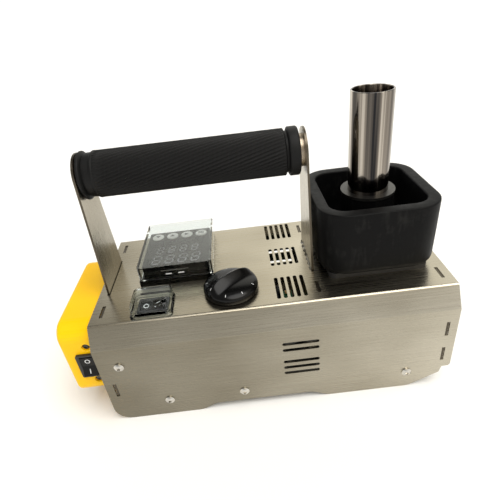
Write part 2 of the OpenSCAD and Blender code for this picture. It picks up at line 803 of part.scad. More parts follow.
module pot_slab(inset, h) {
    r = pot_corner;
    for (x = [-1, 1], y = [-1, 1])
        translate([x * (pot_w / 2 - r), y * (pot_w / 2 - r), 0]) cylinder(h = h, r = r - inset, $fn = 32);
}

module pot_cavity() {
    r = pot_corner - pot_wall;
    for (x = [-1, 1], y = [-1, 1]) translate([x * (pot_w / 2 - pot_corner), y * (pot_w / 2 - pot_corner), 0])
        circle(r = r);
    square([pot_w - 2 * pot_wall, pot_w - 2 * pot_corner], center = true);
    square([pot_w - 2 * pot_corner, pot_w - 2 * pot_wall], center = true);
}

module glue_pot() {
    color([0.1, 0.1, 0.1]) translate([pot_x, 0, 0]) difference() {
        pot_form();
        translate([0, 0, pot_z0 + pot_floor]) linear_extrude(pot_rim) pot_cavity();
        cylinder_between(pot_z0 - 1, pot_z1, column_r + seat_fit);
        for (x = [-1, 1], y = [-1, 1]) translate([x * pot_screw_at, y * pot_screw_at, pot_z0 - 1])
            cylinder(h = 8, r = m4_r + seat_fit);
    }
}

// The heated block under the pot, with the column that stands up through the pot's floor
module heater_block() {
    color([0.1, 0.1, 0.1]) translate([pot_x, 0, 0]) difference() {
        union() {
            cylinder_between(pot_z0 - 1, ring_z - ring_t, column_r);
            translate([0, 0, block_z0]) linear_extrude(pot_z0 - seat_fit - block_z0)
                round_square(block_w, block_w, 3);
        }
        cylinder_between(block_z0 - 1, pot_z1, bore_r);
        cylinder_between(ring_z - ring_t - ring_spigot_h - seat_fit, pot_z1, ring_spigot_r + seat_fit);
        for (s = [-1, 1]) translate([s * heater_x, 0, heater_z])
            rod_y(-block_w / 2 - 1, heater_l + 2, heater_r + seat_fit);
        translate([0, -block_w / 2, heater_z]) rod_y(-1, 10, 2 + seat_fit);
    }
}

module cylinder_between(z0, z1, r) {
    translate([0, 0, z0]) cylinder(h = z1 - z0, r = r);
}

module column_ring() {
    color([0.45, 0.45, 0.44]) translate([pot_x, 0, 0]) difference() {
        union() {
            cylinder_between(ring_z - ring_t, ring_z, ring_r);
            cylinder_between(ring_z - ring_t - ring_spigot_h, ring_z, ring_spigot_r);
        }
        cylinder_between(pot_z0, pot_z1 + 1, sleeve_r + run_fit);
    }
}

module pot_insulator() {
    color([0.08, 0.08, 0.08]) translate([pot_x, 0, top_z]) linear_extrude(foot_h) difference() {
        round_square(insulator_w, insulator_w, 5);
        square(block_w + 2, center = true);
        for (x = [-1, 1], y = [-1, 1])
            translate([x * pot_screw_at, y * pot_screw_at]) circle(r = m4_hole_r);
    }
}

module pot_screws() {
    color([0.75, 0.75, 0.74]) for (x = [-1, 1], y = [-1, 1])
        translate([pot_x + x * pot_screw_at, y * pot_screw_at, under_z]) rotate([180, 0, 0])
            button_screw(m4_head_r, m4_head_h, m4_r, sheet + foot_h + 6);
}

module heater_rods() {
    color([0.6, 0.58, 0.55]) for (s = [-1, 1]) translate([pot_x + s * heater_x, 0, heater_z]) {
        rod_y(-block_w / 2 - 2, heater_l, heater_r);
        rod_y(-block_w / 2 - 8, 6 + eps, 2.6);
    }
}

module temperature_sensor() {
    color([0.7, 0.7, 0.68]) translate([pot_x, -block_w / 2, heater_z]) {
        rod_y(-3, 11, 2);
        rotate([90, 0, 0]) cylinder(h = 4, r = 4, $fn = 6);
    }
}

module thermal_cutout() {
    color([0.3, 0.22, 0.18]) translate([pot_x, block_w / 2 + seat_fit, heater_z]) {
        rod_y(0, 6, 6.5);
        for (s = [-1, 1]) translate([s * 3.5 - 2, 6 - eps, -0.4]) cube([4, 7, 0.8]);
    }
}

// ---------- spindle and drive ----------

module applicator_sleeve() {
    color([0.8, 0.79, 0.77]) translate([pot_x, 0, 0]) difference() {
        cylinder_between(sleeve_z0, top_z + sleeve_top, sleeve_r);
        cylinder_between(sleeve_z0 - 1, top_z + sleeve_top + 1, sleeve_r - sleeve_wall);
    }
}

module sleeve_hub() {
    color([0.75, 0.6, 0.35]) translate([pot_x, 0, 0]) difference() {
        cylinder_between(sleeve_z0, sleeve_z0 + hub_h, sleeve_r - sleeve_wall - seat_fit);
        cylinder_between(sleeve_z0 - 1, sleeve_z0 + hub_h + 1, spindle_r + seat_fit);
    }
}

module spindle() {
    color([0.7, 0.7, 0.7]) translate([pot_x, 0, 0]) {
        cylinder_between(spindle_z0, sleeve_z0 + hub_h, spindle_r);
        cylinder_between(drive_z + drive_t + 1.3, gear_z - seat_fit, spindle_r + 2);
    }
}

function involute(a) = tan(a) * 180 / PI - a;

// Outline of a spur gear with involute flanks; a tooth is centred on +X
function gear_outline(teeth, m, backlash) =
    let(rp = m * teeth / 2, rb = rp * cos(20), ra = rp + m, rf = rp - 1.25 * m,
        half = (PI * m / 2 - backlash) / 2 / rp * 180 / PI + involute(20), r0 = max(rb, rf) + eps,
        radii = [for (i = [0 : 4]) r0 + (ra - r0) * i / 4],
        flank = [for (r = radii) [r, half - involute(acos(rb / r))]])
    [for (t = [0 : teeth - 1], p = [[rf, -flank[0][1]], for (f = flank) [f[0], -f[1]],
        for (i = [4 : -1 : 0]) flank[i], [rf, flank[0][1]]])
        p[0] * [cos(p[1] + 360 * t / teeth), sin(p[1] + 360 * t / teeth)]];

module spindle_gear() {
    rim = gear_m * gear_teeth / 2 - 4 * gear_m;
    color([0.8, 0.78, 0.7]) translate([pot_x, 0, gear_z]) difference() {
        union() {
            linear_extrude(gear_w) rotate(-90) polygon(gear_outline(gear_teeth, gear_m, 0.15));
            cylinder(h = gear_w + 2, r = 8);
        }
        translate([0, 0, gear_w - 2]) difference() {
            cylinder(h = 3, r = rim);
            translate([0, 0, -1]) cylinder(h = 5, r = 8 + eps);
        }
        translate([0, 0, -1]) cylinder(h = gear_w + 4, r = spindle_r + seat_fit);
    }
}

module bearing_housing() {
    color([0.6, 0.6, 0.62]) translate([pot_x, 0, 0]) difference() {
        union() {
            cylinder_between(drive_z - 26, drive_z - seat_fit, housing_barrel_r);
            cylinder_between(drive_z - 4, drive_z - seat_fit, housing_flange_r - 3.5);
        }
        cylinder_between(drive_z - 27, drive_z + 1, bush_out_r + seat_fit);
    }
}

module spindle_bushes() {
    color([0.72, 0.5, 0.25]) translate([pot_x, 0, 0]) for (z = [drive_z - 26, drive_z - 10])
        difference() {
            union() {
                cylinder_between(z, z + 10, bush_out_r);
                if (z > drive_z - 20) cylinder_between(z + 10, z + 10 + drive_t + 1, bush_out_r - 1);
            }
            cylinder_between(z - 1, z + 14, spindle_r + run_fit);
        }
}

// The ring of screws that holds the gearbox's face to the bracket
module at_motor_screws(z) {
    for (a = [30 : 60 : 330]) translate([pot_x, motor_y - shaft_offset, z]) rotate(a)
        translate([15.5, 0, 0]) children();
}

module drive_bracket() {
    x0 = part_x + plate / 2 + seat_fit;
    x1 = right_x - plate / 2 - seat_fit;
    lip = 14;
    y0 = -58;
    y1 = 34;
    color([0.55, 0.56, 0.58]) difference() {
        union() {
            translate([x0, y0, drive_z]) cube([x1 - x0, y1 - y0, drive_t]);
            for (x = [x0, x1 - drive_t]) translate([x, y0, drive_z]) cube([drive_t, y1 - y0, lip]);
        }
        translate([pot_x, 0, drive_z - 1]) cylinder(h = drive_t + 2, r = bush_out_r);
        translate([pot_x, motor_y, drive_z - 1]) cylinder(h = drive_t + 2, r = 6.1);
        at_motor_screws(drive_z - 1) cylinder(h = drive_t + 2, r = 1.5 + seat_fit);
        for (y = [-46, 24]) translate([0, y, drive_z + drive_t + 6])
            rod_x(part_x, right_x - part_x, 1.5 + seat_fit);
    }
}

module inner_screws() {
    color([0.7, 0.7, 0.7]) {
        for (y = [-46, 24]) {
            translate([part_x - plate / 2, y, drive_z + drive_t + 6]) rotate([0, -90, 0])
                button_screw(2.6, 1.4, 1.5, 5);
            translate([right_x + plate / 2, y, drive_z + drive_t + 6]) rotate([0, 90, 0])
                button_screw(2.6, 1.4, 1.5, 5);
        }
        at_motor_screws(drive_z + drive_t) button_screw(2.6, 1.4, 1.5, 5);
        at_fan_screws() translate([0, fan_bracket_y + fan_bracket_t, 0]) rotate([-90, 0, 0])
            button_screw(2.6, 1.4, 1.5, 5);
    }
}

module gear_motor() {
    can_h = drive_z - gearbox_h - base_top - 0.8;
    color([0.5, 0.5, 0.52]) translate([pot_x, motor_y, 0]) difference() {
        union() {
            translate([0, -shaft_offset, 0]) {
                cylinder_between(drive_z - seat_fit - gearbox_h, drive_z - seat_fit, gearbox_r);
                cylinder_between(base_top + 0.8, drive_z - gearbox_h, motor_r);
            }
            cylinder_between(drive_z - 1, drive_z + drive_t + 0.6, 6);
        }
        cylinder_between(drive_z - 14, drive_z + 5, motor_shaft_r + run_fit);
        translate([-pot_x, -motor_y, 0]) at_motor_screws(drive_z - 5) cylinder(h = 6, r = 1.5 + seat_fit);
    }
}

module motor_shaft() {
    color([0.7, 0.7, 0.7]) translate([pot_x, motor_y, 0])
        cylinder_between(drive_z - 13.5, gear_z + gear_w + 1, motor_shaft_r);
}

module motor_pinion() {
    color([0.75, 0.65, 0.4]) translate([pot_x, motor_y, gear_z]) difference() {
        union() {
            linear_extrude(gear_w) rotate(90 + 180 / pinion_teeth)
                polygon(gear_outline(pinion_teeth, gear_m, 0.15));
            translate([0, 0, -1.8]) cylinder(h = 2, r = 5.5);
        }
        translate([0, 0, -3]) cylinder(h = gear_w + 6, r = motor_shaft_r + seat_fit);
    }
}

// ---------- fan ----------

module fan_frame() {
    color([0.1, 0.1, 0.1]) translate([fan_x, fan_y + seat_fit, fan_z]) difference() {
        union() {
            rotate([-90, 0, 0]) linear_extrude(fan_t) difference() {
                round_square(fan_w, fan_w, 2);
                circle(r = 14);
            }
            rod_y(fan_t - 1.5, 1.5, 7);
            for (a = [45 : 90 : 315]) rotate([0, a, 0]) translate([0, fan_t - 1.5, -0.8])
                cube([14.5, 1.5, 1.6]);
            rod_y(fan_t - 5, 4, 1.5);
        }
        translate([-fan_x, 0, -fan_z]) at_fan_screws() rod_y(-1, fan_t + 2, 1.5 + seat_fit);
    }
}

module at_fan_screws() {
    for (x = [-12, 12], z = [-12, 12]) translate([fan_x + x, 0, fan_z + z]) children();
}

// An angle that stands on the base plate and holds the fan against the vents
module fan_bracket() {
    color([0.6, 0.6, 0.6]) difference() {
        union() {
            translate([fan_x - fan_w / 2, fan_bracket_y, base_top + seat_fit]) {
                cube([fan_w, fan_bracket_t, fan_z + fan_w / 2 - base_top]);
                cube([fan_w, 12, fan_bracket_t]);
            }
        }
        translate([fan_x, fan_bracket_y, fan_z]) rod_y(-1, fan_bracket_t + 2, 13.5);
        at_fan_screws() translate([0, fan_bracket_y, 0]) rod_y(-1, fan_bracket_t + 2, 1.5 + seat_fit);
    }
}

module fan_rotor() {
    color([0.13, 0.13, 0.13]) translate([fan_x, fan_y + seat_fit, fan_z]) difference() {
        union() {
            rod_y(1, fan_t - 3.2, 7);
            for (i = [0 : fan_blades - 1]) rotate([0, i * 360 / fan_blades, 0]) intersection() {
                translate([9.5, 4.5, 0]) rotate([35, 0, 0]) cube([8, 1, 10], center = true);
                difference() {
                    rod_y(1, 7, 13.2);
                    rod_y(0, 9, 6.5);
                }
            }
        }
        rod_y(3, fan_t, 1.5 + run_fit);
    }
}

// ---------- electronics ----------

relay_x = left_x + 8;
relay_l = 62;
board_x0 = relay_x + relay_l + 10;
board_x1 = part_x - 9;
board = [board_x1 - board_x0, 78, 1.6];
board_x = (board_x0 + board_x1) / 2;
board_y = 8;
post_h = 6;
board_z = base_top + post_h;

function board_posts() = [for (x = [-1, 1], y = [-1, 1])
    [board_x + x * (board[0] / 2 - 4), board_y + y * (board[1] / 2 - 4)]];

module control_board() {
    color([0.1, 0.35, 0.2]) difference() {
        translate([board_x - board[0] / 2, board_y - board[1] / 2, board_z + seat_fit]) cube(board);
        for (p = board_posts()) translate([p[0], p[1], board_z - 1]) cylinder(h = 4, r = 1.6);
    }
}

module board_components() {
    z = board_z + board[2] + 2 * seat_fit;
    pitch = (board[0] - 18.8) / 6;
    color([0.25, 0.25, 0.28]) {
        translate([board_x1 - 17, board_y - 20, z]) cylinder(h = 26, r = 8);
        translate([board_x0 + 11, board_y - 26, z]) cube([board[0] - 40, 14, 14]);
        for (i = [0 : 5]) translate([board_x0 + 9 + i * pitch, board_y + 27, z])
            cube([pitch - 0.4, 8, 10]);
        difference() {
            translate([board_x - 14, board_y - 4, z]) cube([30, 20, 24]);
            for (i = [0 : 4]) translate([board_x - 11.5 + i * 5.6, board_y - 5, z + 5]) cube([2.6, 22, 20]);
        }
    }
}

module board_standoffs() {
    color([0.8, 0.7, 0.4]) for (p = board_posts()) translate([p[0], p[1], 0]) {
        cylinder_between(base_top + eps, board_z, 3);
        cylinder_between(base_z, board_z + board[2] + 1, 1.5);
        cylinder_between(board_z + board[2] + 2 * seat_fit, board_z + board[2] + 2, 2.8);
    }
}

module solid_state_relay() {
    y = -in_y + 10;
    color([0.85, 0.85, 0.82]) translate([relay_x, y, base_top + seat_fit]) {
        cube([relay_l, 44, 4]);
        translate([2, 1, 4 - eps]) cube([relay_l - 4, 42, 19]);
        for (s = [0, 1], t = [0, 1]) translate([9 + 44 * s, 10 + 24 * t, 22]) cylinder(h = 3, r = 3.5);
    }
}

module terminal_block() {
    y = in_y - 30;
    color([0.9, 0.9, 0.86]) translate([relay_x + 4, y, base_top + seat_fit]) difference() {
        union() {
            cube([60, 19, 9]);
            for (i = [0 : 6]) translate([i * 9.6, 0, 8.9]) cube([2.2, 19, 6]);
        }
        for (i = [0 : 5], s = [0, 1]) translate([i * 9.6 + 5.9, 5 + 9 * s, 6]) cylinder(h = 8, r = 2.4);
    }
}

top_cover();
base_plate();
left_end_plate();
partition_plate();
right_end_plate();
handle_tube();
rubber_grip();
handle_bolts();
cover_screws();
end_housing();
housing_screws();
cable_gland();
gland_nut();
main_switch_body();
main_switch_rocker();
work_switch_body();
work_switch_rocker();
switch_boot();
controller_case();
controller_bezel();
display_window();
controller_clamp();
key_down();
key_up();
key_shift();
key_set();
cover_frame();
controller_cover();
cover_hinge_pin();
speed_potentiometer();
potentiometer_nut();
potentiometer_shaft();
speed_knob();
glue_pot();
heater_block();
column_ring();
pot_insulator();
pot_screws();
heater_rods();
temperature_sensor();
thermal_cutout();
applicator_sleeve();
sleeve_hub();
spindle();
spindle_gear();
bearing_housing();
spindle_bushes();
drive_bracket();
inner_screws();
gear_motor();
motor_shaft();
motor_pinion();
fan_frame();
fan_rotor();
fan_bracket();
control_board();
board_components();
board_standoffs();
solid_state_relay();
terminal_block();
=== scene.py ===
"""Looks of a hand-held edge banding machine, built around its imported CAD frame. All lengths are metres."""

import math

import bmesh
import bpy
from mathutils import Matrix, Vector

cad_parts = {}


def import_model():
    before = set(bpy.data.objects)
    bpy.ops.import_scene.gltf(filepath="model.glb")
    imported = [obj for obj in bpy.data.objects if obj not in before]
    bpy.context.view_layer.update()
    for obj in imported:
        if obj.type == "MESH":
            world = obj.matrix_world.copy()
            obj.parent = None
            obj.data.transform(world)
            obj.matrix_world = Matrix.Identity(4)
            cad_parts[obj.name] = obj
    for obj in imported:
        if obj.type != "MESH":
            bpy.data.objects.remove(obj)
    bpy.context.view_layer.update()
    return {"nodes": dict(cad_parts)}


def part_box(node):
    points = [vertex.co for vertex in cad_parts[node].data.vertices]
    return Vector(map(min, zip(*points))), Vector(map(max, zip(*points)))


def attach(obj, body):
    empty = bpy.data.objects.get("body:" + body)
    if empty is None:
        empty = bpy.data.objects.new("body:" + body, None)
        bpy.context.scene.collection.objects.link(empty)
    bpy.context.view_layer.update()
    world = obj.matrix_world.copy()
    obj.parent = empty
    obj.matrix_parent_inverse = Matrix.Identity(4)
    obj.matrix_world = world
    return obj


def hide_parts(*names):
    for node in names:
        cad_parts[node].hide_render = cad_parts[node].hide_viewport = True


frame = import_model()

MM = 0.001
MICRON = 0.001 * MM

# The imported materials go, so that this script's own can take the names of the slots
NODE_SLOTS = {name: made.data.materials[0].name for name, made in frame["nodes"].items()}
for imported in list(bpy.data.materials):
    bpy.data.materials.remove(imported)


# ---------- shader nodes, for a material or the world ----------

def shader(name, color, roughness, metallic=0.0, **sockets):
    """A material with a Principled shader; sockets gives other inputs by name, with _ for a space."""
    material = bpy.data.materials.new(name)
    material.use_nodes = True
    bsdf = material.node_tree.nodes["Principled BSDF"]
    bsdf.inputs["Base Color"].default_value = (*color, 1)
    bsdf.inputs["Roughness"].default_value = roughness
    bsdf.inputs["Metallic"].default_value = metallic
    for key, value in sockets.items():
        bsdf.inputs[key.replace("_", " ")].default_value = value
    return material


def node(owner, kind, inputs=None, **settings):
    """Adds a node; an input is a plain value or another node's output socket."""
    made = owner.node_tree.nodes.new(kind)
    for key, value in settings.items():
        setattr(made, key, value)
    for key, value in (inputs or {}).items():
        if isinstance(value, bpy.types.NodeSocket):
            owner.node_tree.links.new(value, made.inputs[key])
        else:
            made.inputs[key].default_value = value
    return made


def feed(material, socket, output):
    """Drives one of the Principled shader's inputs."""
    material.node_tree.links.new(output, material.node_tree.nodes["Principled BSDF"].inputs[socket])


def noise(material, scale, detail=3, roughness=0.5):
    """Noise from 0 to 1 with cells of 1 / scale metres; scale is one number, or one for each axis."""
    if not isinstance(scale, tuple):
        scale = (scale, scale, scale)
    coords = node(material, "ShaderNodeTexCoord").outputs["Object"]
    placed = node(material, "ShaderNodeMapping", {"Vector": coords, "Scale": scale}).outputs["Vector"]
    return node(material, "ShaderNodeTexNoise", {
        "Vector": placed, "Scale": 1.0, "Detail": detail, "Roughness": roughness}).outputs["Fac"]


def spread(owner, value, low, high, to_low=0.0, to_high=1.0):
    """Maps low..high of a value to to_low..to_high."""
    return node(owner, "ShaderNodeMapRange", {
        "Value": value, "From Min": low, "From Max": high,
        "To Min": to_low, "To Max": to_high}).outputs["Result"]


def graded(material, fac, to_low=0.0, to_high=1.0):
    """Maps the range where noise mostly lies to to_low..to_high."""
    return spread(material, fac, 0.3, 0.7, to_low, to_high)


def combine(material, operation, a, b):
    return node(material, "ShaderNodeMath", {0: a, 1: b}, operation=operation).outputs[0]


def tint(owner, value, dark, light):
    """A colour from dark to light; either may be another colour output."""
    mix = node(owner, "ShaderNodeMix", data_type="RGBA")
    factor, first, second = mix.inputs[0], mix.inputs[6], mix.inputs[7]
    owner.node_tree.links.new(value, factor)
    for socket, color in ((first, dark), (second, light)):
        if isinstance(color, bpy.types.NodeSocket):
            owner.node_tree.links.new(color, socket)
        else:
            socket.default_value = (*color, 1)
    return mix.outputs[2]


def bump(material, height, distance):
    feed(material, "Normal", node(material, "ShaderNodeBump", {
        "Height": height, "Distance": distance}).outputs["Normal"])


def side_facing(material, axis):
    """How squarely a face looks along an axis, 0 to 1."""
    normal = node(material, "ShaderNodeNewGeometry").outputs["Normal"]
    split = node(material, "ShaderNodeSeparateXYZ", {0: normal}).outputs[axis]
    return combine(material, "ABSOLUTE", split, 0.0)


def along(material, axis):
    coords = node(material, "ShaderNodeTexCoord").outputs["Object"]
    return node(material, "ShaderNodeSeparateXYZ", {0: coords}).outputs[axis]


def darker(color, share):
    return tuple(c * share for c in color)


# ---------- materials ----------

STEEL_DARK = (0.30, 0.268, 0.205)
STEEL_LIGHT = (0.56, 0.52, 0.43)
# Painted dark reflection for the faces that look along Y
PAINTED_FRONT_REFLECTION = (0.13, 0.12, 0.09)
CUT_EDGE = (0.10, 0.085, 0.065)
COVER_LEFT, COVER_RIGHT = (corner.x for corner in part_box("top_cover"))
ALONG_GRAIN, ACROSS_GRAIN = 22, 1300
CLOUDS = (11, 14, 16)
SCRATCH_SHARE = 0.55
TONE_LOW, TONE_HIGH = 0.4, 1.05

# Painted shade and light: what is added to the steel's tone at each end, darker at the left and lighter at
# the right, and the share of the painted dark reflection on the front and back plates at each end
PAINTED_SHADE_AT_LEFT, PAINTED_LIGHT_AT_RIGHT = -0.26, 0.06
PAINTED_FRONT_SHADE_AT_LEFT, PAINTED_FRONT_SHADE_AT_RIGHT = 0.62, 0.1

# How squarely a face looks along Y to be a front, and along X to be a cut edge: from none to full
FRONT_FACING = (0.8, 0.98)
EDGE_FACING = (0.8, 0.95)
EDGE_NOT_FACING = (0.5, 0.2)

# Painted reflection colours and thresholds for the polished tube's dark and light bands
PAINTED_REFLECTION_DARK = (0.02, 0.02, 0.022)
PAINTED_REFLECTION_MIDDLE = (0.20, 0.175, 0.15)
PAINTED_REFLECTION_LIGHT = (0.72, 0.66, 0.58)
FINE_BAND_SHARE = 0.35
PAINTED_BAND_LOW, PAINTED_BAND_MIDDLE, PAINTED_BAND_HIGH = 0.5, 0.72, 0.9

COATING = (0.0028, 0.0028, 0.003)
COATING_RUBBED = (0.011, 0.011, 0.0105)
RUBBED_TONE = (0.27, 0.42)
RUBBED_GLOSS = (0.15, 0.45)


def sheet_steel(name, grain, edges_along_x):
    """Brushed stainless: scratches along the grain, slow changes of tone, dark laser-cut edges.

    Painted shade: the colour darkens towards the left end, and a painted dark reflection darkens the front
    and back plates, most at the left."""
    material = shader(name, STEEL_LIGHT, roughness=0.28, metallic=1.0, Anisotropic=0.35)
    scratches = noise(material, grain, detail=4, roughness=0.65)
    clouds = noise(material, CLOUDS, detail=2)
    tone = combine(material, "ADD", combine(material, "MULTIPLY", scratches, SCRATCH_SHARE), clouds)
    # Painted shade: a gradient along X darkens the left end and lightens the right, standing in for the
    # dimmer reflections there
    painted_shade_gradient = spread(material, along(material, "X"), COVER_LEFT, COVER_RIGHT, PAINTED_SHADE_AT_LEFT, PAINTED_LIGHT_AT_RIGHT)
    tone = combine(material, "ADD", tone, painted_shade_gradient)
    steel = tint(material, spread(material, tone, TONE_LOW, TONE_HIGH), STEEL_DARK, STEEL_LIGHT)
    # Painted reflection: faces looking along Y, the front and back plates, are mixed towards a dark colour,
    # most at the left end
    front = spread(material, side_facing(material, "Y"), *FRONT_FACING)
    shade = spread(material, along(material, "X"), COVER_LEFT, COVER_RIGHT, PAINTED_FRONT_SHADE_AT_LEFT, PAINTED_FRONT_SHADE_AT_RIGHT)
    steel = tint(material, combine(material, "MULTIPLY", front, shade), steel, PAINTED_FRONT_REFLECTION)
    cut_range = EDGE_FACING if edges_along_x else EDGE_NOT_FACING
    cut = spread(material, side_facing(material, "X"), *cut_range)
    feed(material, "Base Color", tint(material, cut, steel, CUT_EDGE))
    feed(material, "Roughness", graded(material, scratches, 0.22, 0.36))
    bump(material, scratches, 12 * MICRON)
    return material


def polished_tube():
    """Drawn and polished steel, with painted reflections: dark and light colour bands along the tube that
    stand in for reflected surroundings.
    """
    material = shader("polished_steel", (0.6, 0.57, 0.53), roughness=0.08, metallic=1.0)
    broad = noise(material, (170, 170, 2), detail=1)
    fine = noise(material, (900, 900, 3), detail=2)
    painted_reflection_bands = combine(material, "ADD", broad, combine(material, "MULTIPLY", fine, FINE_BAND_SHARE))
    # Painted reflections: bands along the tube from near black to light, standing in for reflected
    # surroundings
    painted_dark_reflection = tint(material, spread(material, painted_reflection_bands, PAINTED_BAND_LOW, PAINTED_BAND_MIDDLE), PAINTED_REFLECTION_DARK, PAINTED_REFLECTION_MIDDLE)
    painted_light_reflection_share = spread(material, painted_reflection_bands, PAINTED_BAND_MIDDLE, PAINTED_BAND_HIGH)
    feed(material, "Base Color", tint(material, painted_light_reflection_share, painted_dark_reflection, PAINTED_REFLECTION_LIGHT))
    feed(material, "Roughness", graded(material, fine, 0.07, 0.14))
    return material


def turned_metal(name, color, roughness):
    """Machined metal with faint marks and tarnish."""
    material = shader(name, color, roughness, metallic=1.0)
    marks = noise(material, 1500, detail=2)
    tarnish = graded(material, noise(material, 60))
    feed(material, "Base Color", tint(material, tarnish, darker(color, 0.72), color))
    feed(material, "Roughness", graded(material, marks, roughness * 0.75, roughness * 1.3))
    return material


def moulded(name, color, roughness, grain, depth, wear=0.85, **sockets):
    """Plastic, rubber or coating: a fine grain in the surface and a slow change of tone."""
    material = shader(name, color, roughness, **sockets)
    fine = noise(material, grain)
    slow = noise(material, 35)
    feed(material, "Base Color", tint(material, graded(material, slow), darker(color, wear), color))
    feed(material, "Roughness", graded(material, slow, roughness * 0.88, roughness * 1.12))
    bump(material, fine, depth)
    return material


def coated_aluminium():
    """Non-stick coating: satin black with a fine grain and faint grey rubbed marks."""
    material = shader("coated_aluminium", (0.003, 0.003, 0.003), roughness=0.5, Specular_IOR_Level=0.1)
    fine = noise(material, 1800)
    patches = noise(material, (28, 28, 60), detail=4, roughness=0.7)
    rubbed = combine(material, "MULTIPLY", patches, noise(material, (300, 300, 90)))
    tone = spread(material, rubbed, *RUBBED_TONE)
    feed(material, "Base Color", tint(material, tone, COATING, COATING_RUBBED))
    feed(material, "Roughness", spread(material, rubbed, *RUBBED_GLOSS, 0.42, 0.62))
    bump(material, fine, 10 * MICRON)
    return material


def clear_plastic(name, color, roughness, bend):
    """Thin clear plastic: light goes nearly straight through, and a gloss coat gives the reflections."""
    material = shader(name, color, roughness, Transmission_Weight=1.0, IOR=bend,
                      Coat_Weight=0.4, Coat_IOR=1.4, Coat_Roughness=0.04)
    bump(material, noise(material, 90, detail=2), 4 * MICRON)
    return material


INK = (0.003, 0.003, 0.003)

stainless = sheet_steel("stainless", (ALONG_GRAIN, ACROSS_GRAIN, ACROSS_GRAIN), True)
plate_steel = sheet_steel("plate_steel", (ACROSS_GRAIN, ACROSS_GRAIN, ALONG_GRAIN), False)
polished = polished_tube()
screw_steel = turned_metal("bright_screw", (0.70, 0.67, 0.61), 0.16)
plain_steel = turned_metal("plain_steel", (0.36, 0.30, 0.23), 0.3)
rubber = moulded("grip_rubber", (0.0035, 0.0035, 0.0035), 0.55, 1500, 10 * MICRON, Specular_IOR_Level=0.22)
yellow = moulded("yellow_abs", (0.98, 0.56, 0.0015), 0.32, 1400, 4 * MICRON, 0.94, Specular_IOR_Level=0.2)
black_plastic = moulded("black_plastic", (0.014, 0.014, 0.015), 0.45, 1500, 8 * MICRON)
gloss_black = moulded("gloss_black", INK, 0.1, 60, MICRON, Specular_IOR_Level=0.2)
key_white = moulded("key_white", (0.86, 0.86, 0.84), 0.35, 900, 2 * MICRON, 0.95)
clear = clear_plastic("clear_plastic", (0.84, 0.87, 0.865), 0.02, 1.2)
coated = coated_aluminium()
dark_steel = turned_metal("dark_steel", (0.085, 0.083, 0.078), 0.4)
bronze = turned_metal("bronze", (0.55, 0.36, 0.16), 0.35)
aluminium = turned_metal("aluminium", (0.7, 0.7, 0.7), 0.4)
motor_steel = turned_metal("motor_steel", (0.4, 0.4, 0.4), 0.4)
circuit = moulded("circuit_board", (0.02, 0.18, 0.06), 0.4, 900, 2 * MICRON)
white_plastic = moulded("white_plastic", (0.8, 0.8, 0.78), 0.4, 1200, 4 * MICRON)

# Variants of the above, which share their slots
unlit_segment = moulded("unlit_segment", (0.2, 0.2, 0.22), 0.3, 900, MICRON)
knob_black = moulded("knob_black", INK, 0.2, 60, MICRON, Specular_IOR_Level=0.2)
light_print = moulded("light_print", (0.72, 0.73, 0.74), 0.5, 900, MICRON)
soft_clear = clear_plastic("soft_clear", (0.88, 0.92, 0.92), 0.05, 1.1)

BY_SLOT = {material.name: material for material in (
    stainless, polished, screw_steel, plain_steel, rubber, yellow, black_plastic, gloss_black, key_white,
    clear, coated, dark_steel, bronze, aluminium, motor_steel, circuit, white_plastic)}
PLATES = ("left_end_plate", "partition_plate", "right_end_plate", "drive_bracket", "fan_bracket")


def paint_cad_nodes():
    """Gives every CAD node its slot's material; the upright plates have their grain upright."""
    for name, made in frame["nodes"].items():
        made.data.materials.clear()
        made.data.materials.append(plate_steel if name in PLATES else BY_SLOT[NODE_SLOTS[name]])


# ---------- mesh building ----------

MERGE_DISTANCE = 1e-7


def piece(name, points, faces, material, body, replaces=(), sharp=32):
    """A smooth-shaded mesh that rides on a body; edges over the sharp angle stay crisp."""
    mesh = bpy.data.meshes.new(name)
    mesh.from_pydata([tuple(p) for p in points], [], faces)
    work = bmesh.new()
    work.from_mesh(mesh)
    bmesh.ops.remove_doubles(work, verts=work.verts, dist=MERGE_DISTANCE)
    bmesh.ops.recalc_face_normals(work, faces=work.faces)
    work.to_mesh(mesh)
    work.free()
    mesh.polygons.foreach_set("use_smooth", [True] * len(mesh.polygons))
    mesh.set_sharp_from_angle(angle=math.radians(sharp))
    mesh.materials.append(material)
    made = bpy.data.objects.new(name, mesh)
    bpy.context.scene.collection.objects.link(made)
    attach(made, body)
    if replaces:
        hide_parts(*replaces)


def loft(rings, closed=False):
    """Points and faces over rings of equal counts.

    Closed joins the last ring to the first; otherwise both are capped."""
    count = len(rings[0])
    points = [p for ring in rings for p in ring]
    pairs = list(zip(range(len(rings) - 1), range(1, len(rings))))
    if closed:
        pairs.append((len(rings) - 1, 0))
    faces = [(a * count + i, a * count + (i + 1) % count, b * count + (i + 1) % count, b * count + i)
             for a, b in pairs for i in range(count)]
    if not closed:
        last = (len(rings) - 1) * count
        faces += [tuple(reversed(range(count))), tuple(range(last, last + count))]
    return points, faces


def extruded(outline, height, matrix):
    """A flat shape raised by a height, then moved by a matrix."""
    count = len(outline)
    points = [matrix @ Vector((x, y, z)) for z in (0, height) for x, y in outline]
    faces = [tuple(reversed(range(count))), tuple(range(count, 2 * count))]
    faces += [(i, (i + 1) % count, count + (i + 1) % count, count + i) for i in range(count)]
    return points, faces


def joined(parts):
    """Several (points, faces) pairs as one."""
    points, faces = [], []
    for more_points, more_faces in parts:
        start = len(points)
        points += more_points
        faces += [tuple(start + i for i in face) for face in more_faces]
    return points, faces


def circle(radius, count):
    turns = [math.tau * i / count for i in range(count)]
    return [(radius * math.cos(turn), radius * math.sin(turn)) for turn in turns]


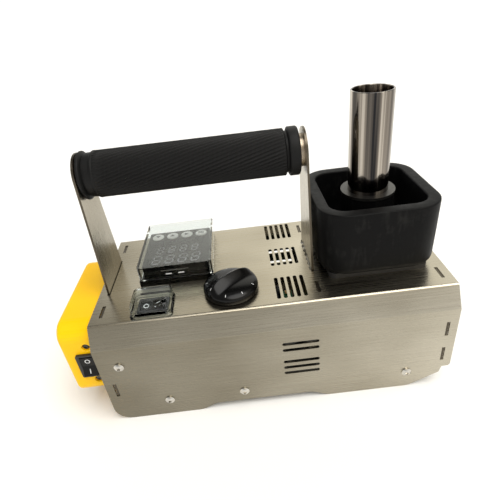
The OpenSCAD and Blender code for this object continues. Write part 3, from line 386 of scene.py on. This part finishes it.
def round_rect(width, depth, radius, z, at, steps=10):
    """A level ring: a rectangle with round corners, or a circle when the radius is half of both sides."""
    radius = min(radius, width / 2, depth / 2)
    ring = []
    for turn, (sx, sy) in enumerate(((1, 1), (-1, 1), (-1, -1), (1, -1))):
        cx = at[0] + sx * (width / 2 - radius)
        cy = at[1] + sy * (depth / 2 - radius)
        for i in range(steps + 1):
            angle = math.radians(90 * (turn + i / steps))
            ring.append(Vector((cx + radius * math.cos(angle), cy + radius * math.sin(angle), z)))
    return ring


def level_circle(radius, z, at, steps=10):
    return round_rect(2 * radius, 2 * radius, radius, z, at, steps)


def ring_mark(outer, inner, height, matrix, steps=32):
    """A flat ring raised by a height."""
    rings = [[matrix @ Vector((x, y, z)) for x, y in circle(radius, steps)]
             for radius, z in ((inner, 0), (outer, 0), (outer, height), (inner, height))]
    return loft(rings, closed=True)


def bar(width, depth):
    x, y = width / 2, depth / 2
    return [(-x, -y), (x, -y), (x, y), (-x, y)]


def quarter_turn(steps):
    return [math.radians(90 * i / steps) for i in range(steps + 1)]


def fillet(size):
    """Steps of a quarter round: how far in and how far down, from the side towards the top."""
    return [(size * (1 - math.cos(turn)), size * (1 - math.sin(turn))) for turn in quarter_turn(4)]


def fillet_up(size):
    """Steps of a quarter round at a foot: how far out and how far up, from the bottom towards the side."""
    return [(size * math.sin(turn), size * (1 - math.cos(turn))) for turn in quarter_turn(5)]


def middle(node_name):
    low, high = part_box(node_name)
    return (low + high) / 2


def turned(degrees, axis):
    return Matrix.Rotation(math.radians(degrees), 4, axis)


def moved(x, y, z):
    return Matrix.Translation((x, y, z))


# Printed marks stand out by this much, and their bottoms are sunk so that no gap shows
PRINT_RISE, PRINT_SINK = 0.06 * MM, 0.01 * MM


# ---------- grip ----------

GRIP_COLLAR = 0.6 * MM
GRIP_RIBS, SIDES_PER_RIB = 40, 8
RIB_DEPTH, RIB_FADE = 0.85 * MM, 1 * MM
RIB_SLANT = 16
RIBS_FROM_LEFT, RIBS_FROM_RIGHT = 11.6 * MM, 9.8 * MM
RIB_STEPS = 40
BORE_PLAY = 0.1 * MM

# Millimetres from the end, and how far the surface stands out from the ribs' crests
GRIP_LEFT = (
    (0.3, -3.0), (0.3, -1.4), (0.8, -0.1), (1.6, 0.6), (2.4, 0.6), (3.0, 0.1), (3.5, -1.2), (4.0, -2.0),
    (4.6, -2.0), (5.0, -1.1), (6.0, -0.95), (8.2, -0.85), (9.3, -0.7), (9.9, -0.1), (10.4, 0.1),
    (11.0, 0.1), (11.4, -0.1))
GRIP_RIGHT = (
    (9.3, -0.7), (8.9, -1.9), (7.6, -1.9), (7.3, -0.4), (6.8, 0.4), (6.3, 0.6), (1.4, 0.6), (0.7, 0.4),
    (0.2, -0.1), (0, -0.9), (0, -3.0))


def grip_profile(length, radius, bore):
    """Steps along the grip: distance from its left end, radius, and how fully ribbed it is there."""
    start, end = RIBS_FROM_LEFT, length - RIBS_FROM_RIGHT
    steps = [(x * MM, radius + out * MM, 0) for x, out in GRIP_LEFT]
    for i in range(RIB_STEPS + 1):
        x = start + (end - start) * i / RIB_STEPS
        steps.append((x, radius, min(1, (x - start) / RIB_FADE, (end - x) / RIB_FADE)))
    steps += [(length - x * MM, radius + out * MM, 0) for x, out in GRIP_RIGHT]
    return [(steps[0][0], bore, 0)] + steps + [(steps[-1][0], bore, 0)]


def grip():
    """The rubber grip: a flange, groove and collar at each end, and helical ribs between."""
    low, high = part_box("rubber_grip")
    axis = middle("rubber_grip")
    tube_low, tube_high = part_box("handle_tube")
    radius = (high.z - low.z) / 2 - GRIP_COLLAR
    bore = (tube_high.z - tube_low.z) / 2 + BORE_PLAY
    twist = -math.tan(math.radians(RIB_SLANT)) / radius
    sides = GRIP_RIBS * SIDES_PER_RIB
    rings = []
    for x, r, ribbed in grip_profile(high.x - low.x, radius, bore):
        ring = []
        for i in range(sides):
            cut = 0.5 + 0.5 * math.cos(math.tau * i / SIDES_PER_RIB)
            r_here = r - RIB_DEPTH * max(ribbed, 0) * cut
            angle = math.tau * i / sides + twist * x
            ring.append(Vector((low.x + x, axis.y + r_here * math.cos(angle),
                                axis.z + r_here * math.sin(angle))))
        rings.append(ring)
    points, faces = loft(rings, closed=True)
    piece("ribbed_grip", points, faces, rubber, "machine", ["rubber_grip"], sharp=50)


# ---------- glue pot and sleeve ----------

POT_CORNER, POT_WALL, POT_TAPER = 20 * MM, 8.5 * MM, 2 * MM
POT_FLOOR = 12 * MM
POT_HOLE = 18.55 * MM
POT_FOOT, POT_LIP, POT_INNER_FOOT = 6 * MM, 1.1 * MM, 4 * MM

SLEEVE_WALL, SLEEVE_EDGE = 1.2 * MM, 0.4 * MM


def glue_pot():
    """The square pot: tapered sides, round corners, softened rim and a fillet inside round its floor."""
    low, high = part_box("glue_pot")
    at = middle("glue_pot").xy
    width = high.x - low.x
    floor_z = low.z + POT_FLOOR

    def ring(inset, z):
        return round_rect(width - 2 * inset, width - 2 * inset, POT_CORNER - inset, z, at)

    rings = [level_circle(POT_HOLE, low.z, at)]
    rings += [ring(POT_TAPER / 2 + POT_FOOT - side, low.z + rise) for side, rise in fillet_up(POT_FOOT)]
    rings.append(ring(POT_TAPER / 4, (low.z + high.z) / 2))
    rings += [ring(inset, high.z - drop) for inset, drop in fillet(POT_LIP)]
    rings += [ring(POT_WALL - inset, high.z - drop) for inset, drop in reversed(fillet(POT_LIP))]
    rings.append(ring(POT_WALL, floor_z + POT_INNER_FOOT))
    rings += [ring(POT_WALL + POT_INNER_FOOT - side, floor_z + rise)
              for side, rise in reversed(fillet_up(POT_INNER_FOOT))]
    rings.append(level_circle(POT_HOLE, floor_z, at))
    points, faces = loft(rings, closed=True)
    piece("square_glue_pot", points, faces, coated, "machine", ["glue_pot"], sharp=40)


def sleeve():
    """The applicator sleeve: a thin polished tube with a softened top edge."""
    low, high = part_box("applicator_sleeve")
    at = middle("applicator_sleeve").xy
    radius = (high.x - low.x) / 2
    inner = radius - SLEEVE_WALL
    steps = [(inner, low.z), (radius, low.z), (radius, (low.z + high.z) / 2)]
    steps += [(radius - inset, high.z - drop) for inset, drop in fillet(SLEEVE_EDGE)]
    steps += [(inner + inset, high.z - drop) for inset, drop in reversed(fillet(SLEEVE_EDGE))]
    points, faces = loft([level_circle(r, z, at, steps=40) for r, z in steps], closed=True)
    piece("polished_sleeve", points, faces, polished, "applicator", ["applicator_sleeve"], sharp=50)


# ---------- clear boot over the work switch ----------

BOOT_CORNER = 3.2 * MM

# Millimetres in from the flange's edge, and the share of the height
BOOT_OUTSIDE = (
    (0, 0), (0, 0.16), (0.3, 0.2), (1.0, 0.22), (1.0, 0.4), (0.7, 0.43), (0.7, 0.48), (1.05, 0.51),
    (1.1, 0.78), (1.4, 0.88), (2.1, 0.95), (3.4, 0.99), (5.5, 1.0))
BOOT_INSIDE = ((4.5, 0.9), (2.0, 0.84), (1.2, 0.7), (1.0, 0.5), (1.0, 0))


def boot():
    """The soft clear boot over the work switch: a flange, ribbed sides and a crowned top."""
    low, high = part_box("switch_boot")
    at = middle("switch_boot").xy
    width, depth, height = high.x - low.x, high.y - low.y, high.z - low.z
    rings = []
    for inset, share in BOOT_INSIDE + BOOT_OUTSIDE:
        inset = inset * MM
        z = low.z + share * height
        rings.append(round_rect(width - 2 * inset, depth - 2 * inset, BOOT_CORNER, z, at))
    points, faces = loft(rings)
    piece("clear_switch_boot", points, faces, soft_clear, "machine", ["switch_boot"], sharp=60)


# ---------- knob ----------

RIDGE_ANGLE = 38
DOME_HEIGHT, RIM_HEIGHT = 8.4 * MM, 3.2 * MM
RIDGE_FLANK = 7.5 * MM
DOME_POWER = 2.6
RIDGE_LENGTH_POWER, RIDGE_END_POWER, FLANK_POWER = 3.2, 0.6, 1.5
DOME_ROUNDS, KNOB_SPOKES = 36, 128
DOME_SWEEP = 89  # degrees; short of 90, so the last round keeps a width
RIM_EDGE, RIM_EDGE_RISE = 0.3 * MM, 0.4 * MM

# Recesses for the shaft, the bushing and the nut, from inside to outside: radius and height
KNOB_RECESSES = (
    (3.2 * MM, 10 * MM), (3.2 * MM, 7.4 * MM), (5.2 * MM, 7.4 * MM), (5.2 * MM, 3.6 * MM),
    (7 * MM, 3.6 * MM), (7 * MM, 0.0))

TICKS, FIRST_TICK, TICK_STEP = 7, 60, 40
TICK_LENGTH, TICK_WIDTH, TICK_SHARE = 1.8 * MM, 0.4 * MM, 0.86
SLOPE_REACH = 0.02  # share of the radius, inward and outward, over which the dome's slope is taken


def knob_top(x, y, radius, height):
    """Height of the knob's face over a point: a dome, with a ridge that falls away on both flanks."""
    turn = math.radians(RIDGE_ANGLE)
    u = x * math.cos(turn) + y * math.sin(turn)
    v = -x * math.sin(turn) + y * math.cos(turn)
    share = min(1, math.hypot(x, y) / radius)
    base = RIM_HEIGHT + (DOME_HEIGHT - RIM_HEIGHT) * math.sqrt(max(0, 1 - share ** DOME_POWER))
    fall = max(0, 1 - abs(u / radius) ** RIDGE_LENGTH_POWER) ** RIDGE_END_POWER
    crest = RIM_HEIGHT + (height - RIM_HEIGHT) * fall
    flank = max(0, 1 - abs(v) / RIDGE_FLANK) ** FLANK_POWER
    return base + max(0, crest - base) * flank


def speed_knob():
    """The glossy dial knob: a shallow dome with a curved grip ridge across it, hollow underneath."""
    low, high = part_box("speed_knob")
    at = middle("speed_knob")
    radius, height = (high.x - low.x) / 2, high.z - low.z
    rings = []
    for r, z in (*KNOB_RECESSES, (radius - RIM_EDGE, 0.0), (radius, RIM_EDGE_RISE)):
        rings.append([Vector((at.x + x, at.y + y, low.z + z)) for x, y in circle(r, KNOB_SPOKES)])
    for k in range(DOME_ROUNDS + 1):
        r = radius * math.cos(math.radians(DOME_SWEEP * k / DOME_ROUNDS))
        rings.append([Vector((at.x + x, at.y + y, low.z + min(height, knob_top(x, y, radius, height))))
                      for x, y in circle(r, KNOB_SPOKES)])
    points, faces = loft(rings)
    piece("domed_speed_knob", points, faces, knob_black, "knob", ["speed_knob"], sharp=60)


def knob_ticks():
    """Plain ticks round the knob's rim, each tilted to lie on the dome."""
    low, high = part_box("speed_knob")
    at = middle("speed_knob")
    radius, height = (high.x - low.x) / 2, high.z - low.z
    ticks = []
    for i in range(TICKS):
        angle = math.radians(RIDGE_ANGLE + FIRST_TICK + TICK_STEP * i)
        r = radius * TICK_SHARE
        x, y = r * math.cos(angle), r * math.sin(angle)
        inner, outer = (knob_top(x * share, y * share, radius, height)
                        for share in (1 - SLOPE_REACH, 1 + SLOPE_REACH))
        tilt = Matrix.Rotation(-math.atan((outer - inner) / (2 * SLOPE_REACH * r)), 4, "Y")
        place = moved(at.x + x, at.y + y, low.z + knob_top(x, y, radius, height) - PRINT_SINK)
        place = place @ Matrix.Rotation(angle, 4, "Z") @ tilt
        ticks.append(extruded(bar(TICK_LENGTH, TICK_WIDTH), PRINT_RISE, place))
    points, faces = joined(ticks)
    piece("knob_scale_marks", points, faces, light_print, "knob")


# ---------- controller face ----------

ARROW_HALF, ARROW_TALL = 2.1 * MM, 3.0 * MM
ARROW = [(-ARROW_HALF, -ARROW_TALL / 2), (ARROW_HALF, -ARROW_TALL / 2), (0, ARROW_TALL / 2)]
ARROW_KEYS = (("key_up", "up_key", 180), ("key_down", "down_key", 0), ("key_shift", "shift_key", -90))
SET_BAR = (4.6 * MM, 0.6 * MM)
SET_BAR_ROWS = (-1.1 * MM, 0, 1.1 * MM)

# Row's distance from the window's middle, digit width, digit height, pitch
DIGIT_ROWS = ((-8.4 * MM, 6.8 * MM, 10.6 * MM, 9.9 * MM), (5.4 * MM, 5.6 * MM, 8.4 * MM, 9.0 * MM))
DIGITS_PER_ROW = 4
DIGIT_SLANT = 8
SEGMENT = 1.25 * MM

LATCH_DASHES, LATCH_HEIGHT = (-4.6 * MM, 4.6 * MM), 8.6 * MM
LATCH_DASH = (4.4 * MM, 0.9 * MM)


def key_place(key):
    return moved(*middle(key).xy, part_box(key)[1].z - PRINT_SINK)


def key_symbols():
    """Dark arrows on three round white keys, and three bars on the fourth."""
    for key, body, angle in ARROW_KEYS:
        points, faces = extruded(ARROW, PRINT_RISE, key_place(key) @ turned(angle, "Z"))
        piece(f"{key}_symbol", points, faces, black_plastic, body)
    bars = [extruded(bar(*SET_BAR), PRINT_RISE, key_place("key_set") @ moved(0, y, 0)) for y in SET_BAR_ROWS]
    points, faces = joined(bars)
    piece("key_set_symbol", points, faces, black_plastic, "set_key")


def seven_segments(width, tall, thick):
    """Centres and outlines of the seven bars of one digit, every bar present as on an unlit display."""
    gap, half = 0.25 * thick, thick / 2
    end, tip = width / 2 - thick, width / 2 - half - gap
    across = [(-tip, 0), (-end, half), (end, half), (tip, 0), (end, -half), (-end, -half)]
    end, tip = tall / 4 - thick * 0.75, tall / 4 - gap - thick / 4
    upright = [(0, -tip), (half, -end), (half, end), (0, tip), (-half, end), (-half, -end)]
    bars = [((0, y), across) for y in (-tall / 2, 0, tall / 2)]
    bars += [((x, y), upright) for x in (half - width / 2, width / 2 - half) for y in (-tall / 4, tall / 4)]
    return bars


def display_digits():
    """Two rows of four unlit digits, slanted, reading from the operator's side."""
    at = middle("display_window")
    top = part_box("display_window")[1].z
    slant = Matrix.Identity(4)
    slant[0][1] = math.tan(math.radians(DIGIT_SLANT))
    parts = []
    for row_y, width, tall, pitch in DIGIT_ROWS:
        for i in range(DIGITS_PER_ROW):
            from_middle = (i - (DIGITS_PER_ROW - 1) / 2) * pitch
            place = moved(at.x + from_middle, at.y + row_y, top - PRINT_SINK) @ slant
            for (x, y), outline in seven_segments(width, tall, SEGMENT):
                parts.append(extruded(outline, PRINT_RISE, place @ moved(x, y, 0)))
    points, faces = joined(parts)
    piece("display_digits", points, faces, unlit_segment, "machine")


def latch_marks():
    """Two short light dashes on the front of the lid's latch tab."""
    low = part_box("controller_cover")[0]
    parts = []
    for x in LATCH_DASHES:
        place = moved(middle("controller_cover").x + x, low.y + PRINT_SINK, low.z + LATCH_HEIGHT)
        parts.append(extruded(bar(*LATCH_DASH), PRINT_RISE, place @ turned(90, "X")))
    points, faces = joined(parts)
    piece("latch_marks", points, faces, light_print, "lid")


# ---------- rocker marks ----------

ROCKER_PIVOT, ROCKER_REST = -1.2 * MM, -8
ROCKER_TOP, ROCKER_SLOPE = 3 * MM, 1.6 / 7.9
MOULD_RISE, MOULD_SINK = 0.1 * MM, 0.02 * MM
OFF_RING = (1.9 * MM, 1.3 * MM)
ON_BAR = (3.6 * MM, 0.6 * MM)
DOT = (0.5 * MM, 0.05 * MM)


def off_ring(place):
    return ring_mark(*OFF_RING, MOULD_RISE, place)


def on_bar(place):
    return extruded(bar(*ON_BAR), MOULD_RISE, place)


def dot(place):
    return ring_mark(*DOT, MOULD_RISE, place, steps=16)


def rocker_marks(name, body, place, marks):
    """Moulded marks on a rocker's two sloping halves, at rest; place is the switch's own frame.

    Each mark is a shape, and its distances in millimetres along and across the rocker."""
    rocker = place @ moved(0, 0, ROCKER_PIVOT) @ turned(ROCKER_REST, "Y")
    parts = []
    for shape, u, v in marks:
        height = ROCKER_TOP + abs(u) * MM * ROCKER_SLOPE - MOULD_SINK
        lean = Matrix.Rotation(math.copysign(math.atan(ROCKER_SLOPE), -u), 4, "Y")
        parts.append(shape(rocker @ moved(u * MM, v * MM, height) @ lean))
    points, faces = joined(parts)
    piece(name, points, faces, light_print, body)


def switch_marks():
    """Off ring and on bar on both switches; the work switch lies flat, the main switch faces forward."""
    work = middle("work_switch_body")
    work_place = moved(work.x, work.y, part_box("top_cover")[1].z)
    rocker_marks("work_rocker_marks", "work_rocker", work_place,
                 [(off_ring, -4.2, 0), (on_bar, 4.4, 0.6), (dot, 2.6, -2.4)])
    main = middle("main_switch_body")
    main_place = moved(main.x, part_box("end_housing")[0].y, main.z) @ turned(90, "X") @ turned(-90, "Z")
    rocker_marks("main_rocker_marks", "main_rocker", main_place,
                 [(off_ring, -4.4, 0), (on_bar, 4.2, 0)])


# ---------- camera, floor and light ----------

CAMERA_AT = (0.00154, -0.27137, 0.26353)
CAMERA_PITCH, CAMERA_ROLL = 58.29, -6.77
CAMERA_LENS, CAMERA_SENSOR = 29.88, 36
CAMERA_NEAR = 0.01

FLOOR_RADIUS, FLOOR_SIDES = 60, 64

SUN_ENERGY, SUN_ANGLE = 2.1, 50
SUN_DIRECTION = (-0.25, 0.3, -1)

STUDIO_GREY = (0.34, 0.34, 0.33)
HORIZON_WHITE = (1.08, 1.08, 1.07)
HORIZON_FROM, HORIZON_TO = 0.12, 0.5

# Each glow's azimuth, elevation, outer and inner half angle in degrees, and colour
GLOWS = ((10, 26, 38, 10, (1.7, 1.66, 1.5)), (138, 50, 48, 6, (1.3, 1.18, 0.95)))


def camera():
    """The photo's own viewpoint, solved from the body's edges."""
    data = bpy.data.cameras.new("camera")
    data.sensor_width = CAMERA_SENSOR
    data.lens = CAMERA_LENS
    data.clip_start = CAMERA_NEAR
    made = bpy.data.objects.new("camera", data)
    made.matrix_world = moved(*CAMERA_AT) @ turned(CAMERA_PITCH, "X") @ turned(CAMERA_ROLL, "Z")
    bpy.context.scene.collection.objects.link(made)
    bpy.context.scene.camera = made


def floor():
    """A white floor, wide enough to meet the horizon."""
    ring = [(x, y, 0) for x, y in circle(FLOOR_RADIUS, FLOOR_SIDES)]
    mesh = bpy.data.meshes.new("floor")
    mesh.from_pydata(ring, [], [list(range(FLOOR_SIDES))])
    mesh.materials.append(shader("floor", (0.90, 0.90, 0.895), roughness=0.7, Specular_IOR_Level=0.1))
    made = bpy.data.objects.new("floor", mesh)
    bpy.context.scene.collection.objects.link(made)


def sun():
    data = bpy.data.lights.new("overhead", "SUN")
    data.energy = SUN_ENERGY
    data.angle = math.radians(SUN_ANGLE)
    made = bpy.data.objects.new("overhead", data)
    made.rotation_euler = Vector(SUN_DIRECTION).to_track_quat("-Z", "Y").to_euler()
    bpy.context.scene.collection.objects.link(made)


def glow(studio, direction, azimuth, elevation, outer, inner):
    """How far a direction falls inside a soft round glow, 0 to 1."""
    turn, lift = math.radians(azimuth), math.radians(elevation)
    centre = (math.sin(turn) * math.cos(lift), math.cos(turn) * math.cos(lift), math.sin(lift))
    near = node(studio, "ShaderNodeVectorMath", {0: direction, 1: centre}, operation="DOT_PRODUCT")
    return node(studio, "ShaderNodeMapRange", {
        "Value": near.outputs["Value"], "From Min": math.cos(math.radians(outer)),
        "From Max": math.cos(math.radians(inner))}, interpolation_type="SMOOTHSTEP").outputs["Result"]


def world():
    """A dim grey studio with a pale horizon and two broad soft glows, which the steel reflects."""
    studio = bpy.data.worlds.new("studio")
    studio.use_nodes = True
    direction = node(studio, "ShaderNodeTexCoord").outputs["Generated"]
    color = STUDIO_GREY
    for azimuth, elevation, outer, inner, light in GLOWS:
        color = tint(studio, glow(studio, direction, azimuth, elevation, outer, inner), color, light)
    height = node(studio, "ShaderNodeSeparateXYZ", {0: direction}).outputs["Z"]
    color = tint(studio, spread(studio, height, HORIZON_FROM, HORIZON_TO), HORIZON_WHITE, color)
    studio.node_tree.links.new(color, studio.node_tree.nodes["Background"].inputs["Color"])
    bpy.context.scene.world = studio


paint_cad_nodes()
grip()
glue_pot()
sleeve()
boot()
speed_knob()
knob_ticks()
key_symbols()
display_digits()
latch_marks()
switch_marks()
camera()
floor()
world()
sun()
bpy.context.scene.view_settings.view_transform = "Standard"
